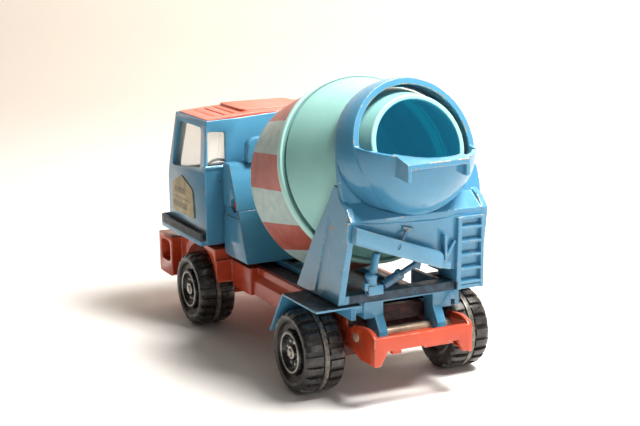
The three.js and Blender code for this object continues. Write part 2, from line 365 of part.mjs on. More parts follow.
// ---------------------------------------------------------------- drum
const drumRear = revolve([[28.3, SPLIT_S], [29.6, SPLIT_S], [MOUTH_R, MOUTH_S - 0.5], [MOUTH_R - 0.4, MOUTH_S], [MOUTH_IN, MOUTH_S], [MOUTH_IN + 0.2, MOUTH_S - 1.4]], 32, DRUM);
const drumFront = revolve([[2.5, -56], [11, -56], [29.4, -36.5], [DRUM_R, -35.6], [DRUM_R, -11.7], [RING_R, -11.3], [RING_R, SPLIT_S - 0.35], [29.8, SPLIT_S - GAP], [28.3, SPLIT_S - GAP], [28.3, -35.4], [10.3, -54.4], [2.5, -54.4]], 32, DRUM);
const spindle = revolve([[0, -66.4], [2.2, -66.4], [2.42, -65.8], [2.42, -54.4 + GAP], [4.6, -54.4 + GAP], [4.6, -53.4], [0, -53.4]], 16, DRUM);

// ---------------------------------------------------------------- assembly
const BLUE = 0x5a9fc8, RED = 0xe2512f, AQUA = 0xa8dcd2;
const group = new THREE.Group();
function piece(name, man, color, roughness, metalness, parent) {
  const mesh = man.getMesh(), n = mesh.numProp;
  const pos = new Float32Array(mesh.vertProperties.length / n * 3);
  for (let i = 0; i < pos.length / 3; i++) for (let k = 0; k < 3; k++) pos[3 * i + k] = mesh.vertProperties[n * i + k];
  const g = new THREE.BufferGeometry();
  g.setAttribute('position', new THREE.BufferAttribute(pos, 3));
  g.setIndex(new THREE.BufferAttribute(Uint32Array.from(mesh.triVerts), 1));
  g.computeVertexNormals();
  const m = new THREE.Mesh(g, new THREE.MeshStandardMaterial({ color, roughness, metalness }));
  m.name = name;
  parent.add(m);
  return m;
}
const lorry = new THREE.Group();
lorry.position.set(0, -(REAR_Y + FRONT_Y) / 2, TYRE_R - AXLE_Z);
group.add(lorry);
const chassisGroup = new THREE.Group(), cabGroup = new THREE.Group(), mixerGroup = new THREE.Group(), drumGroup = new THREE.Group();
lorry.add(chassisGroup, cabGroup, mixerGroup);
mixerGroup.add(drumGroup);

piece('chassis_casting', chassisCasting(), RED, 0.35, 0.1, chassisGroup);
piece('rivet_rear', rivet(0, 45, 15.6), 0xb9b4aa, 0.4, 0.9, chassisGroup);
piece('rivet_front', rivet(0, 77, 14), 0xb9b4aa, 0.4, 0.9, chassisGroup);
piece('tipping_pin', hingePin, 0xaaa69c, 0.35, 0.9, chassisGroup);
piece('front_axle', axle(WHEELBASE), 0xb0aca4, 0.35, 0.9, chassisGroup);
piece('rear_axle', axle(0), 0xb0aca4, 0.35, 0.9, chassisGroup);
piece('headlamp_left', headlamp(-1), 0xe8eef0, 0.1, 0, chassisGroup);
piece('headlamp_right', headlamp(1), 0xe8eef0, 0.1, 0, chassisGroup);

piece('cab_shell', cabShell(), BLUE, 0.3, 0.1, cabGroup);
piece('cab_roof', cabRoof(), RED, 0.35, 0.1, cabGroup);
piece('cab_glazing', cabGlazing(), 0xe9e6d2, 0.05, 0, cabGroup);
piece('cab_interior', cabInterior, 0x2a2620, 0.6, 0, cabGroup);
piece('steering_wheel', steering, 0x1c1a18, 0.5, 0, cabGroup);
piece('door_badge_left', badge(-1), 0xc8b074, 0.6, 0, cabGroup);
piece('door_badge_right', badge(1), 0xc8b074, 0.6, 0, cabGroup);

for (const [tag, d, y] of [['front_left', -1, WHEELBASE], ['front_right', 1, WHEELBASE], ['rear_left', -1, 0], ['rear_right', 1, 0]]) {
  piece(`tyre_${tag}`, tyre(d, y), 0x1b1a19, 0.5, 0, chassisGroup);
  piece(`hub_${tag}`, hub(d, y), 0x16161a, 0.3, 0, chassisGroup);
}

piece('rear_frame', rearFrame(), BLUE, 0.3, 0.1, mixerGroup);
piece('front_tower', bodyTower, BLUE, 0.3, 0.1, mixerGroup);
piece('front_tower_cap', capTower, BLUE, 0.3, 0.1, mixerGroup);
piece('front_tower_crest', crest, BLUE, 0.3, 0.1, mixerGroup);
piece('tower_pin_left', towerPin(-1), 0xd0432a, 0.4, 0, mixerGroup);
piece('tower_pin_right', towerPin(1), 0xd0432a, 0.4, 0, mixerGroup);
piece('rear_tower', rearTower(), BLUE, 0.3, 0.1, mixerGroup);
piece('hopper', hopper(), BLUE, 0.3, 0.1, mixerGroup);
piece('chute', chute(), BLUE, 0.3, 0.1, mixerGroup);
piece('ram_upright', ramUpright, BLUE, 0.3, 0.1, mixerGroup);
piece('ram_slanted', ramSlanted, BLUE, 0.3, 0.1, mixerGroup);
piece('ladder', ladder(), BLUE, 0.3, 0.1, mixerGroup);

piece('drum_rear_shell', drumRear, AQUA, 0.35, 0, drumGroup);
piece('drum_front_shell', drumFront, AQUA, 0.35, 0, drumGroup);
piece('drum_spindle', spindle, 0xaaa69c, 0.35, 0.9, drumGroup);

export default group;
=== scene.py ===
# Looks for the toy cement mixer lorry: beveled castings, turned drum, lugged tyres, worn enamel.
import math
import bpy
import bmesh
from mathutils import Matrix, Vector


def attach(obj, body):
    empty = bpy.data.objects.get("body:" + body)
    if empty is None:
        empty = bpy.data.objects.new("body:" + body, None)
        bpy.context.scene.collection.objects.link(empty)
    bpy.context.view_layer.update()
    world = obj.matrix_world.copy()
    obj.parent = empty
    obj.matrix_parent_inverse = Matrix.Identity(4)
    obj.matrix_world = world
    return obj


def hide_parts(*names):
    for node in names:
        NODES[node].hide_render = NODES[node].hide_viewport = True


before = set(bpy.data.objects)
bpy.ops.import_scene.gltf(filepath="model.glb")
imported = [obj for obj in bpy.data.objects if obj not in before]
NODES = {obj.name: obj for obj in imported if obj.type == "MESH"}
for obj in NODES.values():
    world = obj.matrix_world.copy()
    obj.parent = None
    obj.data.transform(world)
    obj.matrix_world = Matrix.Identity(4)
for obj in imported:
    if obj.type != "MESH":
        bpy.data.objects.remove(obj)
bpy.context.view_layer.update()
scene = bpy.context.scene
scene.view_settings.view_transform = "Standard"

# ------------------------------------------------------------------ layout
# drawing coordinates in mm: rear axle at Y = 0, axles at Z = 12
SHIFT = Vector((0, -40.6, 1.2))


def P(x, y, z):
    return (Vector((x, y, z)) + SHIFT) / 1000


TILT = math.radians(20.4)
AX = Vector((0, -math.cos(TILT), math.sin(TILT)))
UP = Vector((0, math.sin(TILT), math.cos(TILT)))
DRUM0 = Vector((0, 0, 69.51))
MM = 0.001


def drum_point(x, v, s):
    p = DRUM0 + AX * s + UP * v
    return P(x + p.x, p.y, p.z)


# ------------------------------------------------------------------ material helpers
class Nodes:
    def __init__(self, name):
        self.m = bpy.data.materials.new(name)
        self.m.use_nodes = True
        self.t = self.m.node_tree
        self.t.nodes.clear()
        self.out = self.t.nodes.new("ShaderNodeOutputMaterial")
        self.co = self.t.nodes.new("ShaderNodeTexCoord").outputs["Object"]

    def new(self, kind, **props):
        n = self.t.nodes.new(kind)
        for k, v in props.items():
            setattr(n, k, v)
        return n

    def link(self, a, b):
        self.t.links.new(a, b)

    def _in(self, sock, v):
        if hasattr(v, "is_linked") or isinstance(v, bpy.types.NodeSocket):
            self.link(v, sock)
        else:
            sock.default_value = v

    def math(self, op, a, b=None, c=None, clamp=False):
        n = self.new("ShaderNodeMath", operation=op, use_clamp=clamp)
        for i, v in enumerate((a, b, c)):
            if v is not None:
                self._in(n.inputs[i], v)
        return n.outputs[0]

    def vmath(self, op, a, b=None):
        n = self.new("ShaderNodeVectorMath", operation=op)
        self._in(n.inputs[0], a)
        if b is not None:
            self._in(n.inputs[1], b)
        return n.outputs["Value"] if op in ("DOT_PRODUCT", "LENGTH", "DISTANCE") else n.outputs[0]

    def noise(self, scale, detail=3.0, rough=0.55, vec=None, distortion=0.0):
        n = self.new("ShaderNodeTexNoise")
        self.link(vec or self.co, n.inputs["Vector"])
        n.inputs["Scale"].default_value = scale
        n.inputs["Detail"].default_value = detail
        n.inputs["Roughness"].default_value = rough
        n.inputs["Distortion"].default_value = distortion
        return n.outputs["Fac"]

    def step(self, v, lo, hi, a=0.0, b=1.0):
        n = self.new("ShaderNodeMapRange", interpolation_type="SMOOTHSTEP")
        self._in(n.inputs["Value"], v)
        n.inputs["From Min"].default_value = lo
        n.inputs["From Max"].default_value = hi
        n.inputs["To Min"].default_value = a
        n.inputs["To Max"].default_value = b
        return n.outputs["Result"]

    def mix(self, fac, a, b):
        n = self.new("ShaderNodeMix", data_type="RGBA")
        self._in(n.inputs["Factor"], fac)
        self._in(n.inputs["A"] if "A" in n.inputs else n.inputs[6], a) if False else None
        sa, sb = [s for s in n.inputs if s.type == "RGBA"][:2]
        for s, v in ((sa, a), (sb, b)):
            if isinstance(v, bpy.types.NodeSocket):
                self.link(v, s)
            else:
                s.default_value = (*v[:3], 1)
        return [s for s in n.outputs if s.type == "RGBA"][0]

    def edge(self, radius, samples=4):
        """0 on flat faces, towards 1 at edges."""
        b = self.new("ShaderNodeBevel", samples=samples)
        b.inputs["Radius"].default_value = radius
        self.soft = b.outputs[0]
        g = self.new("ShaderNodeNewGeometry")
        d = self.vmath("DOT_PRODUCT", b.outputs[0], g.outputs["Normal"])
        return self.math("MULTIPLY", self.math("SUBTRACT", 1.0, d), 4.0, clamp=True)

    def axis(self, i):
        s = self.new("ShaderNodeSeparateXYZ")
        self.link(self.co, s.inputs[0])
        return s.outputs[i]

    def normal_z(self):
        g = self.new("ShaderNodeNewGeometry")
        s = self.new("ShaderNodeSeparateXYZ")
        self.link(g.outputs["Normal"], s.inputs[0])
        return s.outputs[2]

    def finish(self, color, rough, bump=None, bump_mm=0.02, metallic=0.0, soft=None, **sockets):
        p = self.new("ShaderNodeBsdfPrincipled")
        if isinstance(color, bpy.types.NodeSocket):
            self.link(color, p.inputs["Base Color"])
        else:
            p.inputs["Base Color"].default_value = (*color[:3], 1)
        self._in(p.inputs["Roughness"], rough)
        self._in(p.inputs["Metallic"], metallic)
        for k, v in sockets.items():
            p.inputs[k.replace("_", " ")].default_value = v
        if bump is not None:
            b = self.new("ShaderNodeBump")
            b.inputs["Strength"].default_value = 1.0
            b.inputs["Distance"].default_value = bump_mm * MM
            self.link(bump, b.inputs["Height"])
            if soft:
                e = self.new("ShaderNodeBevel", samples=4)
                e.inputs["Radius"].default_value = soft
                self.link(e.outputs[0], b.inputs["Normal"])
            self.link(b.outputs[0], p.inputs["Normal"])
        self.link(p.outputs[0], self.out.inputs[0])
        self.p = p
        return self.m


def enamel(name, base, dark, light, chip_a, chip_b, chips=0.5, rough=0.16, edge_highlight=0.35, specks=0.045, coat=0.15, soft=None, convex=False, painted_shade=None, painted_shade_col=(0.022, 0.028, 0.034)):
    """Gloss enamel on a casting: uneven thickness, pale edges (thin paint and painted highlight), chips down to primer
    and metal, dark specks, and painted shade from an optional mask.
    """
    n = Nodes(name)
    big = n.noise(70, 4, 0.6)
    fine = n.noise(900, 3, 0.6)
    tiny = n.noise(2600, 2, 0.5)
    c = n.mix(n.step(big, 0.25, 0.8), dark, base)
    e = n.edge(0.00055)
    if convex:
        g = n.new("ShaderNodeNewGeometry")
        if convex is True:
            e = n.math("MAXIMUM", e, n.step(g.outputs["Pointiness"], 0.525, 0.56))
        else:
            e = n.math("MULTIPLY", n.math("MAXIMUM", e, n.step(g.outputs["Pointiness"], 0.51, 0.535)), convex(n))
    # pale edges: partly thin paint, partly painted highlight
    c = n.mix(n.math("MULTIPLY", n.step(e, 0.12, 0.8), edge_highlight), c, light)
    # chips: only on edges, in clumps
    clump = n.noise(190, 3, 0.6)
    grain = n.math("ADD", n.math("MULTIPLY", clump, 0.72), n.math("MULTIPLY", fine, 0.28))
    chip = n.math("MULTIPLY", n.step(e, 0.11, 0.34), n.step(grain, 0.62 - 0.1 * chips, 0.64 - 0.1 * chips))
    chip_col = n.mix(n.step(fine, 0.42, 0.6), chip_a, chip_b)
    # specks over the faces
    v = n.new("ShaderNodeTexVoronoi", feature="F1")
    n.link(n.co, v.inputs["Vector"])
    v.inputs["Scale"].default_value = 240
    v.inputs["Randomness"].default_value = 1.0
    gate = n.new("ShaderNodeSeparateColor")
    n.link(v.outputs["Color"], gate.inputs[0])
    spot = n.math("MULTIPLY", n.math("SUBTRACT", 1.0, n.step(v.outputs["Distance"], 0.05, 0.08)), n.math("LESS_THAN", gate.outputs[0], specks * 3))
    c = n.mix(spot, c, tuple(0.25 * x for x in chip_a))
    c = n.mix(chip, c, chip_col)
    # painted shade: darkens, and roughens, where the given mask stands for shadow in recesses and under parts
    if painted_shade:
        shade_mask = n.math("MULTIPLY", painted_shade(n), n.step(n.noise(420, 4, 0.65), 0.25, 0.6, 0.78, 1.0))
        c = n.mix(shade_mask, c, painted_shade_col)
    r = n.math("ADD", n.step(n.noise(320, 4, 0.65), 0.3, 0.8, rough, rough + 0.10), n.math("MULTIPLY", chip, 0.45), clamp=True)
    if painted_shade:
        r = n.math("ADD", r, n.math("MULTIPLY", shade_mask, 0.42), clamp=True)
    h = n.math("ADD", n.math("MULTIPLY", n.noise(150, 2, 0.5), 0.6), n.math("MULTIPLY", tiny, 0.03))
    h = n.math("SUBTRACT", h, n.math("MULTIPLY", chip, 0.9))
    return n.finish(c, r, h, 0.035, soft=soft, Coat_Weight=coat, Coat_Roughness=0.05, IOR=1.5)


def aqua_plastic(name, base, shade, striped=False, rough=0.34, glow=False):
    n = Nodes(name)
    big = n.noise(60, 3, 0.55)
    c = n.mix(n.step(big, 0.3, 0.7), shade, base)
    rel = n.vmath("SUBTRACT", n.co, tuple(P(*DRUM0)))
    if striped:
        s = n.math("MULTIPLY", n.vmath("DOT_PRODUCT", rel, tuple(AX)), 1000.0)
        v = n.vmath("DOT_PRODUCT", rel, tuple(UP))
        x = n.vmath("DOT_PRODUCT", rel, (1, 0, 0))
        ang = n.math("MULTIPLY", n.math("ARCTAN2", x, v), 180 / math.pi)
        # bars lean a little; boundaries every 22.5 degrees
        a = n.math("ADD", ang, n.math("MULTIPLY", n.math("ADD", s, 36.0), 0.5))
        wob = n.math("MULTIPLY", n.math("SUBTRACT", n.noise(500, 2, 0.5), 0.5), 0.5)
        a = n.math("ADD", n.math("ADD", a, 41.5 + 22.5), wob)
        m = n.math("FLOORED_MODULO", a, 45.0)
        red = n.math("MULTIPLY", n.step(m, 22.25, 22.7), n.math("SUBTRACT", 1.0, n.step(m, 44.5, 44.95)))
        band = n.math("MULTIPLY", n.step(s, -35.3, -35.0), n.math("SUBTRACT", 1.0, n.step(s, -12.2, -12.0)))
        pale = n.mix(n.step(n.noise(300, 4, 0.6), 0.35, 0.7), (0.34, 0.48, 0.47), (0.42, 0.58, 0.56))
        redc = n.mix(n.step(n.noise(140, 4, 0.6), 0.3, 0.75), (0.36, 0.062, 0.042), (0.46, 0.10, 0.068))
        wear = n.step(n.noise(420, 4, 0.7), 0.69, 0.73)
        redc = n.mix(wear, redc, (0.12, 0.05, 0.04))
        c = n.mix(band, c, pale)
        c = n.mix(n.math("MULTIPLY", band, red), c, redc)
    # painted highlight along the edges, and dust
    e = n.edge(0.0006)
    c = n.mix(n.math("MULTIPLY", n.step(e, 0.2, 0.9), 0.35), c, (0.66, 0.92, 0.84))
    dirt = n.step(n.noise(700, 4, 0.65), 0.66, 0.72)
    c = n.mix(n.math("MULTIPLY", dirt, 0.22), c, (0.20, 0.22, 0.19))
    # painted highlight on the raised ring's crown and a painted shade line in the seam right behind it
    sx = n.math("MULTIPLY", n.vmath("DOT_PRODUCT", rel, tuple(AX)), 1000.0)
    crown = n.math("MULTIPLY", n.step(sx, -11.7, -11.4), n.math("SUBTRACT", 1.0, n.step(sx, -9.3, -9.0)))
    c = n.mix(n.math("MULTIPLY", crown, 0.0 if glow else 0.45), c, (0.58, 0.88, 0.81))
    seam = n.math("MULTIPLY", n.step(sx, -9.0, -8.9), n.math("SUBTRACT", 1.0, n.step(sx, -8.35, -8.2)))
    c = n.mix(n.math("MULTIPLY", seam, 0.8), c, (0.04, 0.13, 0.125))
    h = n.math("ADD", n.math("MULTIPLY", n.noise(180, 2, 0.5), 0.5), n.math("MULTIPLY", n.noise(2400, 2, 0.5), 0.12))
    r = n.step(n.noise(260, 4, 0.6), 0.3, 0.75, rough, rough + 0.15)
    m = n.finish(c, r, h, 0.02)
    if glow:
        # painted glow: emission stands in for daylight soaking through the thin wall, a little more in a band behind
        # the ring
        s = n.math("MULTIPLY", n.vmath("DOT_PRODUCT", rel, tuple(AX)), 1000.0)
        near = n.math("MULTIPLY", n.step(s, -14.5, -12.5), n.math("SUBTRACT", 1.0, n.step(s, -5.0, -3.0)))
        n.link(n.mix(near, (0.006, 0.047, 0.062), (0.005, 0.098, 0.125)), n.p.inputs["Emission Color"])
        n.p.inputs["Emission Strength"].default_value = 1.0
    return m


def metal(name, a, b, rough=0.38):
    n = Nodes(name)
    c = n.mix(n.step(n.noise(420, 4, 0.65), 0.35, 0.68), a, b)
    stain = n.step(n.noise(160, 4, 0.7), 0.55, 0.68)
    c = n.mix(n.math("MULTIPLY", stain, 0.55), c, (0.16, 0.11, 0.075))
    r = n.step(n.noise(800, 3, 0.6), 0.3, 0.7, rough, rough + 0.25)
    return n.finish(c, r, n.noise(1500, 3, 0.6), 0.03, metallic=0.85)


def rubber(name):
    """Moulded tyre: black, dusty on the tread with a painted sheen, a pale scuffed parting ring round the middle."""
    n = Nodes(name)
    t = n.math("SUBTRACT", 33.05, n.math("MULTIPLY", n.math("ABSOLUTE", n.axis(0)), 1000.0))
    ring = n.math("MULTIPLY", n.step(t, 5.8, 6.1), n.math("SUBTRACT", 1.0, n.step(t, 7.4, 7.7)))
    y, z = n.axis(1), n.axis(2)
    rad = n.math("MULTIPLY", n.math("SQRT", n.math("ADD", n.math("MULTIPLY", y, y), n.math("MULTIPLY", z, z))), 1000.0)
    tread = n.step(rad, 12.2, 12.9)
    dust_and_sheen = n.step(n.noise(520, 5, 0.7), 0.42, 0.68)
    blot = n.step(n.noise(120, 4, 0.65), 0.35, 0.7)
    # tread paler in patches: dust and painted sheen
    c = n.mix(n.math("MULTIPLY", n.math("MULTIPLY", tread, dust_and_sheen), 0.75), (0.017, 0.0165, 0.016), (0.085, 0.076, 0.066))
    c = n.mix(n.math("MULTIPLY", blot, 0.3), c, (0.045, 0.04, 0.036))
    c = n.mix(n.math("MULTIPLY", ring, n.step(n.noise(900, 5, 0.75), 0.36, 0.66, 0.15, 1.0)), c, (0.20, 0.18, 0.15))
    # paler along the edges: painted highlight
    e = n.edge(0.0004)
    c = n.mix(n.math("MULTIPLY", n.step(e, 0.2, 0.9), 0.25), c, (0.11, 0.10, 0.09))
    r = n.step(n.noise(300, 4, 0.6), 0.3, 0.75, 0.22, 0.46)
    h = n.math("ADD", n.math("MULTIPLY", n.noise(1300, 4, 0.65), 0.6), n.math("MULTIPLY", n.noise(240, 3, 0.6), 0.4))
    return n.finish(c, r, h, 0.05)


def gloss_plastic(name, a, b, rough=0.2, bump=0.02, metallic=0.0):
    n = Nodes(name)
    c = n.mix(n.step(n.noise(200, 4, 0.6), 0.35, 0.7), a, b)
    r = n.step(n.noise(420, 4, 0.65), 0.3, 0.75, rough, rough + 0.2)
    return n.finish(c, r, n.noise(1100, 3, 0.6), bump, metallic=metallic)


def badge_mat(name):
    """Aged paper label: tan, a darker border, blank bars in place of any printing."""
    n = Nodes(name)
    y = n.math("MULTIPLY", n.axis(1), 1000.0)
    z = n.math("MULTIPLY", n.axis(2), 1000.0)
    c = n.mix(n.step(n.noise(240, 4, 0.65), 0.32, 0.7), (0.40, 0.33, 0.19), (0.62, 0.55, 0.36))
    yc, zc = 96.6 - 40.6, 45.0 + 1.2
    bar = None
    for z0, z1, half in ((-5.0, -2.6, 7.0), (-1.4, -0.8, 8.8), (0.6, 3.0, 5.2), (-6.0, -5.7, 8.6)):
        b = n.math("MULTIPLY", n.math("MULTIPLY", n.step(z, zc + z0, zc + z0 + 0.2), n.math("SUBTRACT", 1.0, n.step(z, zc + z1 - 0.2, zc + z1))),
                   n.math("LESS_THAN", n.math("ABSOLUTE", n.math("SUBTRACT", y, yc)), half))
        bar = b if bar is None else n.math("MAXIMUM", bar, b)
    bar = n.math("MULTIPLY", bar, n.step(n.noise(1500, 3, 0.7), 0.35, 0.6, 0.25, 0.8))
    c = n.mix(bar, c, (0.12, 0.11, 0.10))
    e = n.edge(0.0007)
    c = n.mix(n.math("MULTIPLY", n.step(e, 0.15, 0.6), 0.8), c, (0.10, 0.10, 0.11))
    return n.finish(c, n.step(n.noise(600, 3, 0.6), 0.3, 0.7, 0.5, 0.7), n.noise(900, 3, 0.6), 0.02)


BLUE_BASE, BLUE_DARK, BLUE_LIGHT = (0.088, 0.30, 0.475), (0.070, 0.26, 0.43), (0.33, 0.60, 0.78)


def mm(n, i, shift=0.0):
    """coordinate i in drawing mm"""
    return n.math("SUBTRACT", n.math("MULTIPLY", n.axis(i), 1000.0), shift)


def inside(n, v, lo, hi, soft=0.4):
    return n.math("MULTIPLY", n.step(v, lo - soft, lo + soft), n.math("SUBTRACT", 1.0, n.step(v, hi - soft, hi + soft)))


def all_of(n, *masks):
    out = masks[0]
    for m in masks[1:]:
        out = n.math("MULTIPLY", out, m)
    return out


def lip_zone(n):
    # chips show on the squared lip and round the hood's open end
    rel = n.vmath("SUBTRACT", n.co, tuple(P(*DRUM0)))
    far = n.step(n.math("MULTIPLY", n.vmath("DOT_PRODUCT", rel, tuple(AX)), 1000.0), 20.3, 21.0)
    far = n.math("MULTIPLY", far, n.step(n.math("MULTIPLY", n.vmath("DOT_PRODUCT", rel, tuple(UP)), 1000.0), 1.0, 2.0))
    lip = n.math("MULTIPLY", n.step(mm(n, 2, 1.2), 73.0, 73.8), n.math("SUBTRACT", 1.0, n.step(mm(n, 1, -40.6), -31.5, -30.5)))
    return n.math("MAXIMUM", far, lip)


def rail_channel_shade(n):
    # painted shade: darker in the channel round the foot of the cab
    x = n.math("ABSOLUTE", mm(n, 0))
    return all_of(n, n.step(x, 30.3, 30.6), inside(n, mm(n, 2, 1.2), 32.0, 36.2), n.step(mm(n, 1, -40.6), 70, 73))


def frame_top_shade(n):
    # painted shade on the flat tops of the mudguards and the side rails
    return all_of(n, n.step(n.normal_z(), 0.8, 0.95), n.step(mm(n, 2, 1.2), 24, 26))


def beam_shade(n):
    # painted shade: the foot of the rear wall and the sill behind it stay dark
    return all_of(n, n.math("SUBTRACT", 1.0, n.step(mm(n, 2, 1.2), 33.0, 34.2)), inside(n, mm(n, 0), -21.6, 15.6, 0.3))


def well_shade(n):
    # painted shade inside the chassis between the hooks and under the body
    x = n.math("ABSOLUTE", mm(n, 0))
    return all_of(n, n.math("SUBTRACT", 1.0, n.step(x, 16.6, 17.6)), inside(n, mm(n, 1, -40.6), -13.4, 70, 1.0))


BLUE = enamel("blue_enamel", BLUE_BASE, BLUE_DARK, BLUE_LIGHT, (0.30, 0.21, 0.11), (0.42, 0.36, 0.27), chips=0.55)
BLUE_CAB = enamel("blue_enamel_cab", BLUE_BASE, BLUE_DARK, BLUE_LIGHT, (0.30, 0.21, 0.11), (0.42, 0.36, 0.27), chips=0.55, painted_shade=rail_channel_shade)
BLUE_FRAME = enamel("blue_enamel_frame", BLUE_BASE, BLUE_DARK, BLUE_LIGHT, (0.30, 0.21, 0.11), (0.42, 0.36, 0.27), chips=0.7, specks=0.09, painted_shade=frame_top_shade)
BLUE_WORN = enamel("blue_enamel_worn", BLUE_BASE, BLUE_DARK, BLUE_LIGHT, (0.36, 0.24, 0.12), (0.50, 0.41, 0.29), chips=0.9, specks=0.10, convex=lip_zone)
BLUE_EDGE = enamel("blue_enamel_edge", BLUE_BASE, BLUE_DARK, BLUE_LIGHT, (0.36, 0.24, 0.12), (0.50, 0.41, 0.29), chips=1.0, specks=0.10)
BLUE_TOWER = enamel("blue_enamel_tower", BLUE_BASE, BLUE_DARK, BLUE_LIGHT, (0.36, 0.24, 0.12), (0.50, 0.41, 0.29), chips=0.72, specks=0.12, convex=True, painted_shade=beam_shade, painted_shade_col=(0.012, 0.032, 0.058))
# darker copy of the blue enamel for the slanted ram: painted shade
BLUE_SHADE = enamel("blue_enamel_shaded", (0.045, 0.15, 0.25), (0.03, 0.11, 0.19), (0.20, 0.42, 0.58), (0.30, 0.21, 0.11), (0.42, 0.36, 0.27), chips=0.6)
RED = enamel("red_enamel", (0.60, 0.072, 0.020), (0.50, 0.050, 0.016), (0.84, 0.26, 0.15), (0.60, 0.50, 0.36), (0.42, 0.33, 0.24), chips=0.8, coat=0.1, painted_shade=well_shade, painted_shade_col=(0.035, 0.012, 0.010))
ROOF = enamel("roof_enamel", (0.70, 0.16, 0.10), (0.60, 0.12, 0.075), (0.86, 0.42, 0.32), (0.50, 0.36, 0.26), (0.35, 0.24, 0.18), chips=0.55, rough=0.3)
AQUA = aqua_plastic("aqua_plastic", (0.33, 0.66, 0.62), (0.29, 0.61, 0.57))
AQUA_BAND = aqua_plastic("aqua_plastic_bars", (0.36, 0.70, 0.65), (0.32, 0.64, 0.60), striped=True)
# inside of the drum: a darker, bluer copy of the aqua plastic as painted shade, plus a painted glow
AQUA_IN = aqua_plastic("aqua_plastic_inside", (0.08, 0.46, 0.60), (0.06, 0.38, 0.52), rough=0.4, glow=True)
STEEL = metal("tarnished_steel", (0.62, 0.60, 0.56), (0.46, 0.42, 0.36))
TYRE = rubber("tyre_rubber")
HUB = gloss_plastic("hub_black", (0.010, 0.010, 0.012), (0.022, 0.021, 0.022), 0.16)
SILVER = gloss_plastic("hub_silver", (0.66, 0.64, 0.60), (0.40, 0.38, 0.34), 0.28, metallic=0.5)
PIN = gloss_plastic("hinge_pin_tan", (0.80, 0.60, 0.44), (0.50, 0.36, 0.25), 0.3, 0.03, metallic=0.4)
DARK = gloss_plastic("cab_inside_plastic", (0.045, 0.038, 0.030), (0.075, 0.062, 0.048), 0.45, 0.04)
REDPIN = gloss_plastic("red_plastic", (0.55, 0.05, 0.03), (0.42, 0.035, 0.02), 0.3)
LAMP = gloss_plastic("lamp_clear", (0.80, 0.82, 0.80), (0.66, 0.68, 0.66), 0.08, metallic=0.35)
BADGE = badge_mat("label_paper")


def glass_mat():
    n = Nodes("clear_glazing")
    c = n.mix(n.step(n.noise(120, 3, 0.6), 0.3, 0.7), (0.93, 0.91, 0.80), (0.98, 0.97, 0.90))
    smear = n.step(n.noise(260, 5, 0.7), 0.3, 0.8, 0.03, 0.14)
    return n.finish(c, smear, n.noise(500, 3, 0.6), 0.01, Alpha=0.16)


GLASS = glass_mat()

# ------------------------------------------------------------------ mesh helpers
def new_object(name, me, mats, body, replaces=()):
    o = bpy.data.objects.new(name, me)
    scene.collection.objects.link(o)
    for m in mats if isinstance(mats, (list, tuple)) else [mats]:
        if m.name not in [x.name for x in me.materials if x]:
            me.materials.append(m)
    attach(o, body)
    if replaces:
        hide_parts(*replaces)
    return o


def smooth(me, angle=None):
    for p in me.polygons:
        p.use_smooth = True
    if angle is not None:
        me.set_sharp_from_angle(angle=math.radians(angle))


def bevel(o, width=0.25, seg=2, angle=32):
    b = o.modifiers.new("edge", "BEVEL")
    b.limit_method = "ANGLE"
    b.angle_limit = math.radians(angle)
    b.width = width * MM
    b.segments = seg
    b.use_clamp_overlap = False
    b.harden_normals = True
    b.miter_outer = "MITER_ARC"
    return b


def apply_mods(o):
    dg = bpy.context.evaluated_depsgraph_get()
    me = bpy.data.meshes.new_from_object(o.evaluated_get(dg))
    o.modifiers.clear()
    o.data = me
    return me


def soften(o, voxel=0.17, turns=4, keep=0.25):
    """Rounds every edge of a closed casting a little, as a worn die casting has them."""
    m = o.modifiers.new("vox", "REMESH")
    m.mode = "VOXEL"
    m.voxel_size = voxel * MM
    m.use_smooth_shade = True
    k = o.modifiers.new("round", "SMOOTH")
    k.factor = 0.5
    k.iterations = turns
    if keep < 1:
        q = o.modifiers.new("thin", "DECIMATE")
        q.ratio = keep
    mats = list(o.data.materials)
    me = apply_mods(o)
    if not me.materials:
        for mat in mats:
            me.materials.append(mat)
    smooth(me)
    return me


def cast_copy(node, mats, body, width=0.22, seg=2, angle=32):
    """A finished copy of one CAD casting with rounded edges, standing for its node."""
    bm = bmesh.new()
    bm.from_mesh(NODES[node].data)
    bmesh.ops.remove_doubles(bm, verts=bm.verts, dist=4e-6)
    bmesh.ops.dissolve_limit(bm, angle_limit=math.radians(0.6), verts=bm.verts, edges=bm.edges, delimit={"NORMAL"})
    bmesh.ops.dissolve_degenerate(bm, dist=6e-6, edges=bm.edges)
    me = bpy.data.meshes.new(node + "_cast")
    bm.to_mesh(me)
    bm.free()
    smooth(me)
    o = new_object(node + "_cast", me, mats, body, (node,))
    bevel(o, width, seg, angle)
    return o


def cast_soft(node, mats, body, voxel, turns, keep, extra=()):
    """Like cast_copy for a casting with many crossing walls."""
    bm = bmesh.new()
    bm.from_mesh(NODES[node].data)
    bmesh.ops.remove_doubles(bm, verts=bm.verts, dist=1e-6)
    for part in extra:
        bm.from_mesh(part)
    me = bpy.data.meshes.new(node + "_cast")
    bm.to_mesh(me)
    bm.free()
    o = new_object(node + "_cast", me, mats, body, (node,))
    soften(o, voxel, turns, keep)
    return o


